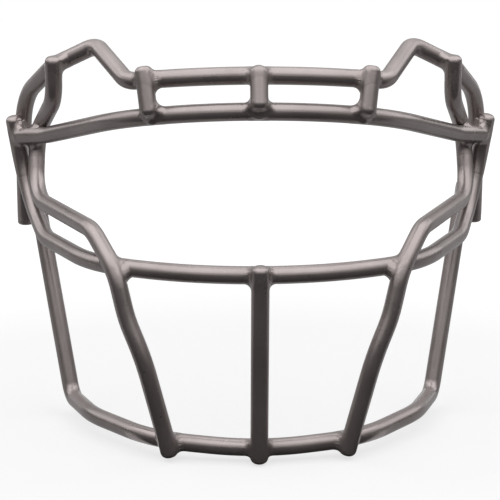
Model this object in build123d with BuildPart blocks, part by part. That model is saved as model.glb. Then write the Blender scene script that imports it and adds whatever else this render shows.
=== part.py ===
from build123d import *
import math
import os

# Football helmet facemask: bent steel wires, laid across one another, welded and coated.
# The wearer looks along -Y, the wearer's left is +X and up is +Z.
# The origin lies under the middle of the cage, level with its lowest wire.

os.makedirs("parts", exist_ok=True)

# Wire, coat and welds
wire_diameter = 6.0
coat_thickness = 0.6
weld_set_down = 0.8
coated_radius = wire_diameter / 2 + coat_thickness
weld_pitch = wire_diameter - weld_set_down

# Ends: free ends are rounded under the coat, the legs are sheared flat
rounded_end = 2.4
sheared_end = 0.9

# Outside size of the coated cage
cage_width = 216.2
cage_depth = 123.3
cage_height = 167.2

# Bend points as shares of half the width, of the depth from the front, and of the height.
# Each list runs from the middle of the mask to one side, and the other side mirrors it.
top_wire_shares = [
    (0.0, 0.151, 0.946),
    (0.481, 0.345, 0.911),
    (0.608, 0.584, 0.985),
    (0.779, 0.646, 0.931),
    (0.928, 0.891, 0.832),
    (0.936, 0.958, 0.488),
]
brow_bar_shares = [(0.0, -0.286, 0.941), (0.815, 0.731, 0.748)]
mid_bar_shares = [(0.0, -0.006, 0.472), (0.616, 0.287, 0.475), (0.826, 0.663, 0.489)]
chin_wire_shares = [
    (0.0, 0.162, 0.032),
    (0.395, 0.232, 0.045),
    (0.639, 0.5, 0.05),
    (0.741, 0.762, 0.045),
]
upright_horn_bend_shares = (0.777, 0.616, 0.848)
upright_cheek_bend_shares = (0.876, 0.792, 0.577)
upright_eye_bend_shares = (0.617, 0.304, 0.557)
upright_mouth_bends_shares = [(0.488, 0.176, 0.357), (0.427, 0.159, 0.26)]

# Bend radii, in the order of the bend points
top_bend_radii = [95.0, 10.0, 8.0, 16.0, 26.0]
brow_bend_radii = [78.7, 25.0]
mid_bend_radii = [95.0, 55.0, 25.0, 30.0]
chin_bend_radii = [95.0, 45.0, 45.0, 8.0]
upright_bend_radii = [14.0, 14.0, 18.0, 14.0, 20.0, 60.0, 60.0]

# Where the wires cross: shares along a straight run, or of half the width
mid_on_leg_share = 0.547
jaw_on_leg_share = 0.764
upright_on_horn_share = 0.116
brow_on_mid_share = 0.24
upright_on_brow_share = 0.84
upright_on_mid_share = 0.517
upright_on_chin_share = 0.322
strut_on_top_share = 0.394
strut_on_brow_share = 0.374

# What stands past a crossing, measured along the wire that ends there
mid_end_down = 11.2
mid_end_up = 25.2
mid_end_angle = 9.0
brow_end_sink = 0.8
jaw_end_tail = 5.0
upright_top_tail = 4.0
upright_mid_run = 3.5
upright_chin_tail = 4.5
centre_top_tail = 5.5
centre_chin_tail = 4.5
strut_top_tail = 5.0
centre_strut_top_tail = 2.5
strut_brow_tail = 0.5

# Welds: a pad of weld metal and pooled coat between two wires, a little thicker than they sink in
weld_bite = 0.2
weld_thickness = 2 * coated_radius - weld_pitch + weld_bite
weld_diameter = 9.4
seam_width = 7.6
leg_seam_length = 19.0
jaw_seam_length = 17.0

# Share of a run that its two bends may use up, and how often a seat is worked out anew
bend_room_share = 0.96
seating_rounds = 6

front = Vector(0, -1, 0)
rear = Vector(0, 1, 0)
front_inboard = Vector(-0.7, -1, 0)
seam_side = Vector(-0.3, 1, -0.5)


def place(shares):
    """The point that a row of shares gives."""
    across, back, up = shares
    return Vector(across * cage_width / 2, (back - 0.5) * cage_depth, up * cage_height)


def along(start, end, share):
    """The point that lies at a share of the way from one point to another."""
    return start + (end - start) * share


def side_of(direction, toward):
    """The unit vector square to a wire's direction on the side that toward points to."""
    return (toward - direction * toward.dot(direction)).normalized()


def across_plane(line, offset):
    """The point and direction of a line where it passes the fore-and-aft plane at an offset."""
    point = Vector(line.intersect(Plane.YZ.offset(offset))[0].center())
    return point, line % line.param_at_point(point)


def square_to(direction, other, toward):
    """The unit vector square to two directions on the side that toward points to."""
    normal = direction.cross(other).normalized()
    return normal if normal.dot(toward) > 0 else -normal


def seat(point, direction, toward):
    """The centre of a wire that is welded on one side of another wire."""
    return point + side_of(direction, toward) * weld_pitch


def seat_from(start, point, direction, toward):
    """The centre of a straight wire that comes from a start and is welded on another wire at a point."""
    centre = seat(point, direction, toward)
    for _ in range(seating_rounds):
        centre = point + square_to(direction, centre - start, toward) * weld_pitch
    return centre


def past(start, end, length):
    """The point that lies a length beyond the end of a run."""
    return end + (end - start).normalized() * length


def both_sides(half):
    """A list of points from one side to the other, from those of one half, middle first."""
    return [Vector(-point.X, point.Y, point.Z) for point in reversed(half[1:])] + half


def fitting_radii(points, radii):
    """The bend radii, reduced where a run is too short for the bends at its two ends."""
    fitted = list(radii)
    for _ in points:
        tangents = [0.0]
        for index, radius in enumerate(fitted):
            arriving = points[index + 1] - points[index]
            leaving = points[index + 2] - points[index + 1]
            tangents.append(radius * math.tan(math.radians(arriving.get_angle(leaving)) / 2))
        tangents.append(0.0)
        for index in range(len(points) - 1):
            room = (points[index + 1] - points[index]).length * bend_room_share
            used = tangents[index] + tangents[index + 1]
            if used > room:
                for bend in (index - 1, index):
                    if 0 <= bend < len(fitted):
                        fitted[bend] *= room / used
    return fitted


def bent_line(points, radii):
    """The centre line of a wire: straight runs joined by tangent arcs."""
    with BuildLine() as line:
        FilletPolyline(*points, radius=fitting_radii(points, radii))
    return line.wire()


def straight_line(start, end):
    """The centre line of a straight wire."""
    with BuildLine() as line:
        Line(start, end)
    return line.wire()


def coated_wire(line, end_round, seated_on):
    """Sweep the coated wire along its centre line and cut the seats of its welds and of other wires."""
    start_side = side_of(line % 0, seam_side)
    with BuildSketch(Plane(origin=line @ 0, x_dir=start_side, z_dir=line % 0)) as section:
        Circle(coated_radius)
    wire = sweep(section.sketch, path=line)
    fillet(wire.faces().filter_by(GeomType.PLANE).edges(), end_round)
    for other in seated_on:
        add(other.part, mode=Mode.SUBTRACT)


def finish(piece, name):
    """Name a piece and write it."""
    piece.part.label = name
    export_step(piece.part, "parts/" + name + ".step")


# Top wire: the brow curve, and on each side a dip, a peak, a shoulder and a straight leg
top_half = [place(shares) for shares in top_wire_shares]
leg_top, leg_end = top_half[-2:]
leg_run = (leg_end - leg_top).normalized()
top_line = bent_line(both_sides(top_half), top_bend_radii[:0:-1] + top_bend_radii)

# Mid bar: its end runs lie against the fronts of the legs, turned a little outboard
mid_seat = seat(along(leg_top, leg_end, mid_on_leg_share), leg_run, front)
mid_end_run = leg_run.rotate(Axis((0, 0, 0), side_of(leg_run, front)), -mid_end_angle)
mid_end_bend = mid_seat + mid_end_run * mid_end_down
mid_end = mid_seat - mid_end_run * mid_end_up
mid_half = [place(shares) for shares in mid_bar_shares] + [mid_end_bend, mid_end]
mid_line = bent_line(both_sides(mid_half), mid_bend_radii[:0:-1] + mid_bend_radii)

# Brow bar: each end is butted on the front inboard side of the mid bar's end run
brow_half = [place(shares) for shares in brow_bar_shares]
brow_on_mid = along(mid_end, mid_end_bend, brow_on_mid_share)
brow_side = side_of(mid_end_run, front_inboard)
brow_half.append(brow_on_mid + brow_side * (coated_radius - brow_end_sink))
brow_line = bent_line(both_sides(brow_half), brow_bend_radii[:0:-1] + brow_bend_radii)

# Chin wire: the front curve, a sharp corner behind each jaw, and a wire that rises
# to the inboard rear side of the leg and touches it there
chin_half = [place(shares) for shares in chin_wire_shares]
jaw_corner = chin_half[-1]
leg_point = along(leg_top, leg_end, jaw_on_leg_share)
to_corner = side_of(leg_run, jaw_corner - leg_point)
corner_reach = (jaw_corner - leg_point).dot(to_corner)
touch_angle = math.degrees(math.acos(weld_pitch / corner_reach))
jaw_side = to_corner.rotate(Axis((0, 0, 0), leg_run), touch_angle)
jaw_seat = leg_point + jaw_side * weld_pitch
chin_half.append(past(jaw_corner, jaw_seat, jaw_end_tail))
chin_line = bent_line(both_sides(chin_half), chin_bend_radii[:0:-1] + chin_bend_radii)

# Uprights: from the front of the peak, behind the brow bar, forward under the eye,
# then down over the mid bar and the chin wire
peak, shoulder = top_half[2:4]
horn_bend = place(upright_horn_bend_shares)
horn_point = along(shoulder, peak, upright_on_horn_share)
horn_seat = seat_from(horn_bend, horn_point, (shoulder - peak).normalized(), front)
brow_run = (brow_half[-1] - brow_half[-2]).normalized()
brow_point = along(brow_half[-2], brow_half[-1], upright_on_brow_share)
brow_bend = seat(brow_point, brow_run, rear)
eye_bend = place(upright_eye_bend_shares)
mid_point, mid_run = across_plane(mid_line, upright_on_mid_share * cage_width / 2)
over_mid = seat_from(eye_bend, mid_point, mid_run, front)
lip_bend = past(eye_bend, over_mid, upright_mid_run)
mouth_bends = [place(shares) for shares in upright_mouth_bends_shares]
chin_point, chin_run = across_plane(chin_line, upright_on_chin_share * cage_width / 2)
over_chin = seat_from(mouth_bends[-1], chin_point, chin_run, front)
upright_points = [
    past(horn_bend, horn_seat, upright_top_tail),
    horn_bend,
    brow_bend,
    place(upright_cheek_bend_shares),
    eye_bend,
    lip_bend,
    *mouth_bends,
    past(mouth_bends[-1], over_chin, upright_chin_tail),
]
upright_line = bent_line(upright_points, upright_bend_radii)
seated_bends = {upright_points.index(brow_bend): brow_line, upright_points.index(lip_bend): mid_line}
# The bends behind the brow bar and on the mid bar are moved until their arcs just seat there
for _ in range(seating_rounds):
    for bend, carrier in seated_bends.items():
        reach, on_upright, on_carrier = upright_line.distance_to_with_closest_points(carrier)
        upright_points[bend] += (on_upright - on_carrier).normalized() * (weld_pitch - reach)
        upright_line = bent_line(upright_points, upright_bend_radii)


def front_line(upper, lower, offsets, upper_tail, lower_tail):
    """The centre line of a straight wire across the fronts of two others."""
    upper_point, upper_run = across_plane(upper, offsets[0])
    lower_point, lower_run = across_plane(lower, offsets[1])
    top = seat(upper_point, upper_run, front)
    bottom = seat(lower_point, lower_run, front)
    for _ in range(seating_rounds):
        run = (bottom - top).normalized()
        top = upper_point + square_to(upper_run, run, front) * weld_pitch
        bottom = lower_point + square_to(lower_run, run, front) * weld_pitch
    return straight_line(past(bottom, top, upper_tail), past(top, bottom, lower_tail))


middle = (0, 0)
strut_offsets = (strut_on_top_share * cage_width / 2, strut_on_brow_share * cage_width / 2)
centre_line = front_line(mid_line, chin_line, middle, centre_top_tail, centre_chin_tail)
centre_strut_line = front_line(
    top_line, brow_line, middle, centre_strut_top_tail, strut_brow_tail
)
left_strut_line = front_line(top_line, brow_line, strut_offsets, strut_top_tail, strut_brow_tail)


def weld_plane(line, other):
    """The contact plane of two wires, with its x direction between the two wires' directions."""
    _, point, other_point = line.distance_to_with_closest_points(other)
    run = line % line.param_at_point(point)
    other_run = other % other.param_at_point(other_point)
    if run.dot(other_run) < 0:
        other_run = -other_run
    return Plane(origin=(point + other_point) / 2, x_dir=run + other_run, z_dir=other_point - point)


def weld(plane, length=weld_diameter, width=weld_diameter):
    """One weld pad: round at a crossing, and longer than wide where two wires lie side by side."""
    with BuildSketch(plane) as outline:
        if length > width:
            SlotOverall(length, width)
        else:
            Circle(width / 2)
    extrude(outline.sketch, amount=weld_thickness / 2, both=True)


# Welds between the two brow bars and the struts
with BuildPart() as strut_top_welds:
    weld(weld_plane(left_strut_line, top_line))
    mirror(about=Plane.YZ)
    weld(weld_plane(centre_strut_line, top_line))
finish(strut_top_welds, "strut_top_welds")

with BuildPart() as strut_bottom_welds:
    weld(weld_plane(left_strut_line, brow_line))
    mirror(about=Plane.YZ)
    weld(weld_plane(centre_strut_line, brow_line))
finish(strut_bottom_welds, "strut_bottom_welds")

# Welds of the side uprights, from the top down
upright_carriers = {
    "upright_top_welds": top_line,
    "upright_brow_welds": brow_line,
    "upright_mid_welds": mid_line,
    "upright_chin_welds": chin_line,
}
upright_welds = []
for welds_name, carrier in upright_carriers.items():
    with BuildPart() as welds:
        weld(weld_plane(upright_line, carrier))
        mirror(about=Plane.YZ)
    finish(welds, welds_name)
    upright_welds.append(welds)
upright_top_welds, upright_brow_welds, upright_mid_welds, upright_chin_welds = upright_welds

# Welds of the centre upright
with BuildPart() as centre_mid_weld:
    weld(weld_plane(centre_line, mid_line))
finish(centre_mid_weld, "centre_mid_weld")

with BuildPart() as centre_chin_weld:
    weld(weld_plane(centre_line, chin_line))
finish(centre_chin_weld, "centre_chin_weld")

# Welds at the ends of the brow bar, and the seams along the legs
with BuildPart() as brow_end_welds:
    weld(Plane(origin=brow_on_mid + brow_side * coated_radius, z_dir=brow_side))
    mirror(about=Plane.YZ)
finish(brow_end_welds, "brow_end_welds")

with BuildPart() as mid_end_welds:
    weld(weld_plane(mid_line, top_line), leg_seam_length, seam_width)
    mirror(about=Plane.YZ)
finish(mid_end_welds, "mid_end_welds")

with BuildPart() as jaw_end_welds:
    weld(weld_plane(chin_line, top_line), jaw_seam_length, seam_width)
    mirror(about=Plane.YZ)
finish(jaw_end_welds, "jaw_end_welds")

# The four long wires
with BuildPart() as top_wire:
    coated_wire(
        top_line,
        sheared_end,
        [strut_top_welds, upright_top_welds, mid_end_welds, jaw_end_welds],
    )
finish(top_wire, "top_wire")

with BuildPart() as mid_bar:
    coated_wire(
        mid_line,
        rounded_end,
        [mid_end_welds, brow_end_welds, upright_mid_welds, centre_mid_weld, top_wire],
    )
finish(mid_bar, "mid_bar")

with BuildPart() as brow_bar:
    coated_wire(
        brow_line,
        rounded_end,
        [strut_bottom_welds, brow_end_welds, upright_brow_welds, mid_bar],
    )
finish(brow_bar, "brow_bar")

with BuildPart() as chin_wire:
    coated_wire(
        chin_line,
        rounded_end,
        [jaw_end_welds, upright_chin_welds, centre_chin_weld, top_wire],
    )
finish(chin_wire, "chin_wire")

# The uprights: a mirrored pair and a straight one
with BuildPart() as left_upright:
    coated_wire(upright_line, rounded_end, upright_welds + [brow_bar, mid_bar])
finish(left_upright, "left_upright")

with BuildPart() as right_upright:
    add(left_upright.part.mirror(Plane.YZ))
finish(right_upright, "right_upright")

with BuildPart() as centre_upright:
    coated_wire(centre_line, rounded_end, [centre_mid_weld, centre_chin_weld])
finish(centre_upright, "centre_upright")

# The three brow struts
with BuildPart() as centre_brow_strut:
    coated_wire(centre_strut_line, rounded_end, [strut_top_welds, strut_bottom_welds])
finish(centre_brow_strut, "centre_brow_strut")

with BuildPart() as left_brow_strut:
    coated_wire(left_strut_line, rounded_end, [strut_top_welds, strut_bottom_welds])
finish(left_brow_strut, "left_brow_strut")

with BuildPart() as right_brow_strut:
    add(left_brow_strut.part.mirror(Plane.YZ))
finish(right_brow_strut, "right_brow_strut")
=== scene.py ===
import math

import bpy
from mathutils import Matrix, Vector


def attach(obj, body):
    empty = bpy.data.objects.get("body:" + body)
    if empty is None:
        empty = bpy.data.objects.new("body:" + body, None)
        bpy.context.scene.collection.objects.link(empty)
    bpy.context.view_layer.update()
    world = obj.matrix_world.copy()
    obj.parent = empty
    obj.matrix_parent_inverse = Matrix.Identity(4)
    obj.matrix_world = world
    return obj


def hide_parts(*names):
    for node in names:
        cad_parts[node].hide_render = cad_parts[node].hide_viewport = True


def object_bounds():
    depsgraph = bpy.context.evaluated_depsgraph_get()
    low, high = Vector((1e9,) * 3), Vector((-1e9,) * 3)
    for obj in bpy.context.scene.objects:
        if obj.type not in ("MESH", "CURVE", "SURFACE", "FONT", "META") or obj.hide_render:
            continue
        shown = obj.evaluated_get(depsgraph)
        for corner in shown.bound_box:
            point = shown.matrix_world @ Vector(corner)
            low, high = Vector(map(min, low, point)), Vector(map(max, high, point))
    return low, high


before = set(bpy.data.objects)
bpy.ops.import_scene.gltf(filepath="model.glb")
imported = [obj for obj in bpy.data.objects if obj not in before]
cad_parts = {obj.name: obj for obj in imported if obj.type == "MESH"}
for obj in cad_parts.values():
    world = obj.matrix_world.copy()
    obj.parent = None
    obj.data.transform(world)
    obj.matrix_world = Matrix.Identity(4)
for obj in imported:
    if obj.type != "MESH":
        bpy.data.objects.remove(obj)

cad_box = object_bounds()

# Football helmet facemask: bent wires under a glossy grey coat that pools at every weld.
# All lengths are in metres.

MM = 0.001

# The wires, from the top of the mask down
WIRES = [
    "top_wire",
    "brow_bar",
    "left_brow_strut",
    "centre_brow_strut",
    "right_brow_strut",
    "left_upright",
    "right_upright",
    "centre_upright",
    "mid_bar",
    "chin_wire",
]

# Each set of welds with the wires that meet there
WELDS = {
    "strut_top_welds": ["top_wire", "left_brow_strut", "centre_brow_strut", "right_brow_strut"],
    "strut_bottom_welds": ["brow_bar", "left_brow_strut", "centre_brow_strut", "right_brow_strut"],
    "upright_top_welds": ["top_wire", "left_upright", "right_upright"],
    "upright_brow_welds": ["brow_bar", "left_upright", "right_upright"],
    "upright_mid_welds": ["mid_bar", "left_upright", "right_upright"],
    "upright_chin_welds": ["chin_wire", "left_upright", "right_upright"],
    "centre_mid_weld": ["mid_bar", "centre_upright"],
    "centre_chin_weld": ["chin_wire", "centre_upright"],
    "brow_end_welds": ["mid_bar", "brow_bar"],
    "mid_end_welds": ["mid_bar", "top_wire"],
    "jaw_end_welds": ["chin_wire", "top_wire"],
}

# Welds that run along two wires as a seam; the others are pads at a crossing
SEAMS = ("mid_end_welds", "jaw_end_welds")

# How the coat pools in the corners of a weld: how far a pool reaches from the middle of its
# pad or seam, the grain that it is modelled in, and the radius that it fills a corner with
POOL_REACH = 9.0 * MM
SEAM_REACH = 15.0 * MM
POOL_GRAIN = 0.34 * MM
CORNER_RADIUS = 2.0 * MM

# How far a pool stands proud of the wires, and how its rim sinks into them
POOL_SWELL = 0.11 * MM
EDGE_SINK = 0.28 * MM
EDGE_WIDTH = 3.0 * MM

# The share of the CAD pad that goes into a pool
PAD_SHARE = 0.78

# Rounds of smoothing before a pool is grown, while it is grown and after it has shrunk back
SMOOTHING_STEP = 0.5
UNGROWN_ROUNDS = 6
GROWN_ROUNDS = 22
SHRUNK_ROUNDS = 10

# Points nearer than this are one point
SAME_POINT = 0.002 * MM


# Small helpers for modelling by operator


def select_only(*things):
    """Leaves only these objects selected, with the first one active."""
    bpy.ops.object.select_all(action="DESELECT")
    for thing in things:
        thing.select_set(True)
    bpy.context.view_layer.objects.active = things[0]


def apply_modifier(piece, kind, **settings):
    """Adds a modifier with its settings and applies it."""
    select_only(piece)
    modifier = piece.modifiers.new(kind.lower(), kind)
    for key, value in settings.items():
        setattr(modifier, key, value)
    bpy.ops.object.modifier_apply(modifier=modifier.name)


def merged_copy(node, name):
    """A copy of a CAD node with a mesh of its own, its doubles merged."""
    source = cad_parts[node]
    copy = bpy.data.objects.new(name, source.data.copy())
    bpy.context.collection.objects.link(copy)
    select_only(copy)
    bpy.ops.object.mode_set(mode="EDIT")
    bpy.ops.mesh.select_all(action="SELECT")
    bpy.ops.mesh.remove_doubles(threshold=SAME_POINT)
    bpy.ops.mesh.normals_make_consistent(inside=False)
    bpy.ops.object.mode_set(mode="OBJECT")
    return copy


def loose_solids(piece):
    """The separate solids of a piece, each as an object."""
    select_only(piece)
    bpy.ops.object.mode_set(mode="EDIT")
    bpy.ops.mesh.select_all(action="SELECT")
    bpy.ops.mesh.separate(type="LOOSE")
    bpy.ops.object.mode_set(mode="OBJECT")
    return list(bpy.context.selected_objects)


def middle(piece):
    """The middle of a piece's box."""
    corners = [Vector(corner) for corner in piece.bound_box]
    return sum(corners, Vector()) / len(corners)


def delete(piece):
    """Removes an object and its mesh."""
    mesh = piece.data
    bpy.data.objects.remove(piece)
    bpy.data.meshes.remove(mesh)


# The coat pooled at a weld: the wires near it are grown together and smoothed, so that
# the coat stands proud of the wires only in the corners


def local_bit(whole, centre, reach):
    """What lies of a merged wire within a ball."""
    bit = whole.copy()
    bit.data = whole.data.copy()
    bpy.context.collection.objects.link(bit)
    select_only(bit)
    bpy.ops.mesh.primitive_ico_sphere_add(subdivisions=3, radius=reach, location=centre)
    ball = bpy.context.active_object
    select_only(ball)
    bpy.ops.object.transform_apply(location=True, rotation=True, scale=True)
    apply_modifier(bit, "BOOLEAN", operation="INTERSECT", solver="EXACT", object=ball)
    delete(ball)
    return bit


def mould(piece):
    """Makes one closed skin of even grain out of all the shells of a piece."""
    apply_modifier(piece, "REMESH", mode="VOXEL", voxel_size=POOL_GRAIN, adaptivity=0.0)


def smooth(piece, rounds):
    """Evens out the surface of a piece."""
    apply_modifier(piece, "SMOOTH", factor=SMOOTHING_STEP, iterations=rounds)


def grow(piece, amount):
    """Moves a piece's surface outwards, or inwards where the amount is negative."""
    apply_modifier(piece, "DISPLACE", strength=amount, mid_level=0.0)


def sink_edge(piece, centre, reach):
    """Lets the rim of a pool dive under the wires, so that it ends without a step."""
    rim = piece.vertex_groups.new(name="rim")
    for vertex in piece.data.vertices:
        inside = (reach - (vertex.co - centre).length) / EDGE_WIDTH
        rim.add([vertex.index], min(1.0, max(0.0, 1.0 - inside)), "REPLACE")
    apply_modifier(piece, "DISPLACE", strength=-EDGE_SINK, mid_level=0.0, vertex_group="rim")


def shrink(piece, centre, share):
    """Scales a piece about a point."""
    select_only(piece)
    bpy.ops.object.mode_set(mode="EDIT")
    bpy.ops.mesh.select_all(action="SELECT")
    bpy.ops.transform.resize(value=(share, share, share), center_override=centre)
    bpy.ops.object.mode_set(mode="OBJECT")


def pool_of(pad, wholes, reach):
    """The coat that runs together in the corners between the wires at one weld pad."""
    centre = middle(pad)
    shrink(pad, centre, PAD_SHARE)
    bits = []
    for whole in wholes:
        bit = local_bit(whole, centre, reach)
        if bit.data.polygons:
            bits.append(bit)
        else:
            delete(bit)
    select_only(pad, *bits)
    bpy.ops.object.join()
    mould(pad)
    smooth(pad, UNGROWN_ROUNDS)
    grow(pad, CORNER_RADIUS)
    mould(pad)
    smooth(pad, GROWN_ROUNDS)
    grow(pad, POOL_SWELL - CORNER_RADIUS)
    smooth(pad, SHRUNK_ROUNDS)
    sink_edge(pad, centre, reach)
    return pad


def keep_inside(piece, box):
    """Presses flat what stands out of a box by a hair."""
    for axis in range(3):
        for limit, side in ((box[0][axis], -1.0), (box[1][axis], 1.0)):
            select_only(piece)
            bpy.ops.object.mode_set(mode="EDIT")
            bpy.ops.mesh.select_all(action="DESELECT")
            bpy.ops.object.mode_set(mode="OBJECT")
            proud = [v for v in piece.data.vertices if (v.co[axis] - limit) * side > 0.0]
            for vertex in proud:
                vertex.select = True
            if proud:
                flatten = [1.0, 1.0, 1.0]
                flatten[axis] = 0.0
                wall = [0.0, 0.0, 0.0]
                wall[axis] = limit
                bpy.ops.object.mode_set(mode="EDIT")
                bpy.ops.transform.resize(value=flatten, center_override=wall)
                bpy.ops.object.mode_set(mode="OBJECT")


whole_wires = {name: merged_copy(name, "whole_" + name) for name in WIRES}
pools = {}
for weld_name, wire_names in WELDS.items():
    pads = loose_solids(merged_copy(weld_name, "pad"))
    reach = SEAM_REACH if weld_name in SEAMS else POOL_REACH
    grown = [pool_of(pad, [whole_wires[name] for name in wire_names], reach) for pad in pads]
    select_only(*grown)
    if len(grown) > 1:
        bpy.ops.object.join()
    pool = bpy.context.active_object
    pool.name = weld_name.replace("weld", "coat_pool")
    keep_inside(pool, cad_box)
    bpy.ops.object.shade_smooth()
    pools[weld_name] = pool
for whole in whole_wires.values():
    delete(whole)


# Shader groups

# Sizes of the patterns in the coat, as scales of a noise texture
CLOUD_SCALE = 38.0
DUST_SCALE = 900.0
RIPPLE_SCALE = 95.0
PEEL_SCALE = 1100.0
GLOSS_SCALE = 60.0

# How much of the dust's colour the thickest dust takes on, and how deep the relief is
DUST_MOST = 0.5
RELIEF_DEPTH = 0.4 * MM

# The coat on the steel: flakes of metal in it, and a clear layer over it
METAL_SHARE = 0.55
COAT_IOR = 1.5
CLEAR_WEIGHT = 0.25
CLEAR_ROUGHNESS = 0.15


def new_group(name, inputs, outputs):
    """An empty shader group with named sockets, and the nodes of its inputs and outputs."""
    group = bpy.data.node_groups.new(name, "ShaderNodeTree")
    for label, kind, value in inputs:
        socket = group.interface.new_socket(name=label, in_out="INPUT", socket_type=kind)
        socket.default_value = value
    for label, kind in outputs:
        group.interface.new_socket(name=label, in_out="OUTPUT", socket_type=kind)
    return group, group.nodes.new("NodeGroupInput"), group.nodes.new("NodeGroupOutput")


def noise(tree, vector, scale, detail, roughness):
    """A noise texture on a vector."""
    node = tree.nodes.new("ShaderNodeTexNoise")
    node.inputs["Scale"].default_value = scale
    node.inputs["Detail"].default_value = detail
    node.inputs["Roughness"].default_value = roughness
    tree.links.new(vector, node.inputs["Vector"])
    return node.outputs["Fac"]


def remap(tree, value, from_low, from_high, to_low, to_high):
    """A value mapped from one range to another, and held inside it."""
    node = tree.nodes.new("ShaderNodeMapRange")
    node.inputs["From Min"].default_value = from_low
    node.inputs["From Max"].default_value = from_high
    node.inputs["To Min"].default_value = to_low
    node.inputs["To Max"].default_value = to_high
    tree.links.new(value, node.inputs["Value"])
    return node.outputs["Result"]


def blend_colour(tree, factor, first, second):
    """Two colours mixed by a factor; each may be a socket or a colour."""
    node = tree.nodes.new("ShaderNodeMix")
    node.data_type = "RGBA"
    tree.links.new(factor, node.inputs["Factor"])
    for label, colour in (("A", first), ("B", second)):
        socket = [s for s in node.inputs if s.name == label and s.type == "RGBA"][0]
        if isinstance(colour, bpy.types.NodeSocket):
            tree.links.new(colour, socket)
        else:
            socket.default_value = colour
    return [s for s in node.outputs if s.type == "RGBA"][0]


def make_coat_tone():
    """Group: a coat colour with soft clouds and sparse dust."""
    group, source, sink = new_group(
        "coat_tone",
        [
            ("Vector", "NodeSocketVector", (0.0, 0.0, 0.0)),
            ("Base", "NodeSocketColor", (0.3, 0.3, 0.3, 1.0)),
            ("Shade", "NodeSocketColor", (0.2, 0.2, 0.2, 1.0)),
            ("Dust", "NodeSocketColor", (0.6, 0.6, 0.6, 1.0)),
        ],
        [("Color", "NodeSocketColor")],
    )
    vector = source.outputs["Vector"]
    cloudy = noise(group, vector, CLOUD_SCALE, detail=3.0, roughness=0.55)
    clouds = remap(group, cloudy, 0.38, 0.68, 0.0, 1.0)
    tinted = blend_colour(group, clouds, source.outputs["Base"], source.outputs["Shade"])
    dusty = noise(group, vector, DUST_SCALE, detail=2.0, roughness=0.5)
    specks = remap(group, dusty, 0.66, 0.78, 0.0, DUST_MOST)
    dusted = blend_colour(group, specks, tinted, source.outputs["Dust"])
    group.links.new(dusted, sink.inputs["Color"])
    return group


def make_coat_relief():
    """Group: the height of a flowed coat, with long ripples and a fine orange peel."""
    group, source, sink = new_group(
        "coat_relief",
        [("Vector", "NodeSocketVector", (0.0, 0.0, 0.0)), ("Peel", "NodeSocketFloat", 0.3)],
        [("Height", "NodeSocketFloat")],
    )
    vector = source.outputs["Vector"]
    ripples = noise(group, vector, RIPPLE_SCALE, detail=1.0, roughness=0.4)
    peel = noise(group, vector, PEEL_SCALE, detail=2.0, roughness=0.6)
    scaled = group.nodes.new("ShaderNodeMath")
    scaled.operation = "MULTIPLY"
    group.links.new(peel, scaled.inputs[0])
    group.links.new(source.outputs["Peel"], scaled.inputs[1])
    total = group.nodes.new("ShaderNodeMath")
    total.operation = "ADD"
    group.links.new(ripples, total.inputs[0])
    group.links.new(scaled.outputs["Value"], total.inputs[1])
    group.links.new(total.outputs["Value"], sink.inputs["Height"])
    return group


coat_tone = make_coat_tone()
coat_relief = make_coat_relief()


def coat_material(name, base, shade, dust, rough, peel, bump):
    """A glossy coat baked on steel."""
    material = bpy.data.materials.new(name)
    material.use_nodes = True
    tree = material.node_tree
    shader = tree.nodes["Principled BSDF"]
    place = tree.nodes.new("ShaderNodeTexCoord").outputs["Object"]
    tone = tree.nodes.new("ShaderNodeGroup")
    tone.node_tree = coat_tone
    tree.links.new(place, tone.inputs["Vector"])
    tone.inputs["Base"].default_value = base
    tone.inputs["Shade"].default_value = shade
    tone.inputs["Dust"].default_value = dust
    tree.links.new(tone.outputs["Color"], shader.inputs["Base Color"])
    worn = noise(tree, place, GLOSS_SCALE, detail=3.0, roughness=0.6)
    gloss = remap(tree, worn, 0.3, 0.7, rough - 0.05, rough + 0.07)
    tree.links.new(gloss, shader.inputs["Roughness"])
    relief = tree.nodes.new("ShaderNodeGroup")
    relief.node_tree = coat_relief
    tree.links.new(place, relief.inputs["Vector"])
    relief.inputs["Peel"].default_value = peel
    slope = tree.nodes.new("ShaderNodeBump")
    slope.inputs["Strength"].default_value = bump
    slope.inputs["Distance"].default_value = RELIEF_DEPTH
    tree.links.new(relief.outputs["Height"], slope.inputs["Height"])
    tree.links.new(slope.outputs["Normal"], shader.inputs["Normal"])
    shader.inputs["Metallic"].default_value = METAL_SHARE
    shader.inputs["IOR"].default_value = COAT_IOR
    shader.inputs["Coat Weight"].default_value = CLEAR_WEIGHT
    shader.inputs["Coat Roughness"].default_value = CLEAR_ROUGHNESS
    return material


wire_coat = coat_material(
    "wire_coat",
    base=(0.330, 0.286, 0.279, 1.0),
    shade=(0.275, 0.236, 0.230, 1.0),
    dust=(0.470, 0.440, 0.420, 1.0),
    rough=0.30,
    peel=0.22,
    bump=0.14,
)
# The coat on the pools at the welds is a slightly darker copy of the wire coat: painted shade in
# the corners where the wires meet.
pool_coat_painted_shade = coat_material(
    "pool_coat_painted_shade",
    base=(0.322, 0.278, 0.270, 1.0),
    shade=(0.262, 0.224, 0.217, 1.0),
    dust=(0.440, 0.410, 0.390, 1.0),
    rough=0.28,
    peel=0.26,
    bump=0.16,
)

for name in WIRES:
    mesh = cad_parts[name].data
    mesh.materials.clear()
    mesh.materials.append(wire_coat)
for weld_name, pool in pools.items():
    pool.data.materials.clear()
    pool.data.materials.append(pool_coat_painted_shade)
    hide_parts(weld_name)
    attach(pool, "root")


# Studio: a pale floor in white surroundings, lit from overhead; gloss also sees dark cards


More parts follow.
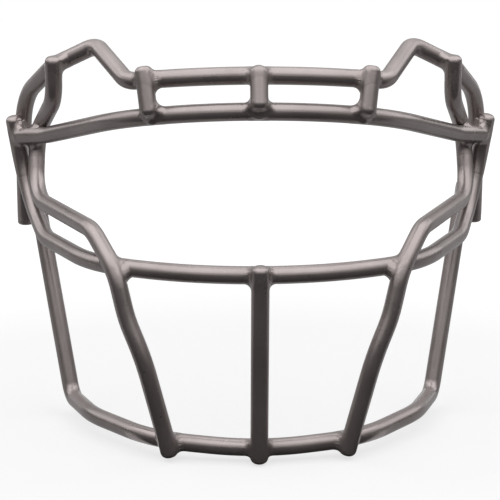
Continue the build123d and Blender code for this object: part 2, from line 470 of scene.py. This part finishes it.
def see_white(tree):
    """A mask that is one for rays from the camera, for gloss and through glass."""
    path = tree.nodes.new("ShaderNodeLightPath")
    rays = path.outputs["Is Camera Ray"]
    for label in ("Is Glossy Ray", "Is Transmission Ray"):
        either = tree.nodes.new("ShaderNodeMath")
        either.operation = "MAXIMUM"
        tree.links.new(rays, either.inputs[0])
        tree.links.new(path.outputs[label], either.inputs[1])
        rays = either.outputs["Value"]
    return rays


# The floor's shade as it is seen and as it throws light back, and how it glows: least
# under the mask, where the shadow lies, and plain white from afar
SEEN_SHADE = (0.28, 0.28, 0.28, 1.0)
BOUNCE_SHADE = (0.12, 0.12, 0.12, 1.0)
NEAR_GLOW = 0.72
GLOW_STARTS = 0.20
GLOW_FULL = 0.55

# Room light that falls on the mask from all sides
ROOM_LEVEL = 0.04

WHITE = (1.0, 1.0, 1.0, 1.0)


def floor_material(name):
    """A floor that keeps the shadow near the mask and turns plain white away from it."""
    material = bpy.data.materials.new(name)
    material.use_nodes = True
    tree = material.node_tree
    tree.nodes.clear()
    out = tree.nodes.new("ShaderNodeOutputMaterial")
    white = see_white(tree)
    plain = tree.nodes.new("ShaderNodeBsdfDiffuse")
    shade = blend_colour(tree, white, BOUNCE_SHADE, SEEN_SHADE)
    tree.links.new(shade, plain.inputs["Color"])
    spot = tree.nodes.new("ShaderNodeTexCoord").outputs["Object"]
    reach = tree.nodes.new("ShaderNodeVectorMath")
    reach.operation = "LENGTH"
    tree.links.new(spot, reach.inputs[0])
    level = remap(tree, reach.outputs["Value"], GLOW_STARTS, GLOW_FULL, NEAR_GLOW, 1.0)
    seen = tree.nodes.new("ShaderNodeMath")
    seen.operation = "MULTIPLY"
    tree.links.new(level, seen.inputs[0])
    tree.links.new(white, seen.inputs[1])
    glow = tree.nodes.new("ShaderNodeEmission")
    tree.links.new(seen.outputs["Value"], glow.inputs["Strength"])
    both = tree.nodes.new("ShaderNodeAddShader")
    tree.links.new(plain.outputs["BSDF"], both.inputs[0])
    tree.links.new(glow.outputs["Emission"], both.inputs[1])
    tree.links.new(both.outputs["Shader"], out.inputs["Surface"])
    return material


def card_material(name, level):
    """A card that shows an even grey whatever light falls on it."""
    material = bpy.data.materials.new(name)
    material.use_nodes = True
    tree = material.node_tree
    tree.nodes.clear()
    out = tree.nodes.new("ShaderNodeOutputMaterial")
    grey = tree.nodes.new("ShaderNodeEmission")
    grey.inputs["Strength"].default_value = level
    tree.links.new(grey.outputs["Emission"], out.inputs["Surface"])
    return material


def soft_light(name, place, target, size, power):
    """A rectangular white light that faces a target."""
    lamp = bpy.data.lights.new(name, "AREA")
    lamp.shape = "RECTANGLE"
    lamp.size, lamp.size_y = size
    lamp.energy = power
    stand = bpy.data.objects.new(name, lamp)
    bpy.context.collection.objects.link(stand)
    stand.location = place
    stand.rotation_euler = (Vector(target) - Vector(place)).to_track_quat("-Z", "Y").to_euler()


def stage_card(name, place, size, turn, material, only_gloss):
    """A flat card on the stage; one that only gloss sees stays out of every picture."""
    bpy.ops.object.select_all(action="DESELECT")
    bpy.ops.mesh.primitive_plane_add(size=1.0, location=place, rotation=turn)
    card = bpy.context.active_object
    card.name = name
    card.scale = (size[0], size[1], 1.0)
    bpy.ops.object.transform_apply(location=False, rotation=False, scale=True)
    card.data.materials.append(material)
    if only_gloss:
        card.visible_camera = False
        card.visible_diffuse = False
        card.visible_shadow = False
        card.visible_transmission = False


# How a card is turned
FLAT = (0.0, 0.0, 0.0)
STANDING = (math.radians(90.0), 0.0, 0.0)
STANDING_SIDEWAYS = (math.radians(90.0), 0.0, math.radians(90.0))

floor_white = floor_material("floor_white")
stage_card("studio_floor", (0.0, 0.0, 0.0), (6.0, 6.0), FLAT, floor_white, only_gloss=False)

# Cards that only gloss sees: a dark room in front of the mask, greyer at its sides and behind,
# each with its place, its size and its turn
dark_card = card_material("dark_card", 0.04)
side_card = card_material("side_card", 0.20)
back_card = card_material("back_card", 0.45)

GLOSS_CARDS = [
    ("front_floor_card", (0.0, -1.03, 0.0002), (4.0, 2.0), FLAT, dark_card),
    ("back_floor_card", (0.0, 0.70, 0.0002), (4.0, 1.44), FLAT, back_card),
    ("front_wall_card", (0.0, -2.0, 0.20), (4.0, 0.40), STANDING, dark_card),
    ("left_wall_card", (1.5, -0.3, 0.25), (3.4, 0.50), STANDING_SIDEWAYS, side_card),
    ("right_wall_card", (-1.5, -0.3, 0.25), (3.4, 0.50), STANDING_SIDEWAYS, side_card),
    ("back_wall_card", (0.0, 1.4, 0.6), (3.0, 0.9), STANDING, back_card),
]
for name, place, size, turn, material in GLOSS_CARDS:
    stage_card(name, place, size, turn, material, only_gloss=True)

world = bpy.data.worlds.new("studio_world")
bpy.context.scene.world = world
world.use_nodes = True
sky = world.node_tree
room_light = sky.nodes["Background"]
room_light.inputs["Color"].default_value = WHITE
room_light.inputs["Strength"].default_value = ROOM_LEVEL
seen_sky = sky.nodes.new("ShaderNodeBackground")
seen_sky.inputs["Color"].default_value = WHITE
seen_sky.inputs["Strength"].default_value = 1.0
sky_mix = sky.nodes.new("ShaderNodeMixShader")
sky.links.new(see_white(sky), sky_mix.inputs["Fac"])
sky.links.new(room_light.outputs["Background"], sky_mix.inputs[1])
sky.links.new(seen_sky.outputs["Background"], sky_mix.inputs[2])
sky.links.new(sky_mix.outputs["Shader"], sky.nodes["World Output"].inputs["Surface"])

# A wide light overhead, and a weaker one behind on either side that draws the edges
OVERHEAD_SIZE = (2.8, 2.0)
OVERHEAD_POWER = 26.0
SIDE_TARGET = (0.0, 0.10, 0.10)
SIDE_SIZE = (1.2, 0.60)
SIDE_POWER = 1.8

soft_light(
    "overhead_light", (0.0, -0.45, 1.10), (0.0, -0.45, 0.0), OVERHEAD_SIZE, OVERHEAD_POWER
)
soft_light("left_light", (1.40, 0.65, 0.80), SIDE_TARGET, SIDE_SIZE, SIDE_POWER)
soft_light("right_light", (-1.40, 0.65, 0.80), SIDE_TARGET, SIDE_SIZE, SIDE_POWER)

# Camera: a long lens in front of the mask, a little above it and a little towards the
# wearer's right, tipped down and turned by these angles in degrees
CAMERA_PLACE = (-0.0266, -0.7028, 0.2163)
CAMERA_DOWN = 11.0
CAMERA_TURN = 1.99
CAMERA_LENS = 122.8
SENSOR_WIDTH = 36.0
CAMERA_NEAR = 0.01

camera = bpy.data.objects.new("camera", bpy.data.cameras.new("camera"))
bpy.context.collection.objects.link(camera)
camera.data.lens = CAMERA_LENS
camera.data.sensor_width = SENSOR_WIDTH
camera.data.clip_start = CAMERA_NEAR
camera.location = CAMERA_PLACE
camera.rotation_euler = (math.radians(90.0 - CAMERA_DOWN), 0.0, math.radians(-CAMERA_TURN))
bpy.context.scene.camera = camera

bpy.context.scene.view_settings.view_transform = "Standard"
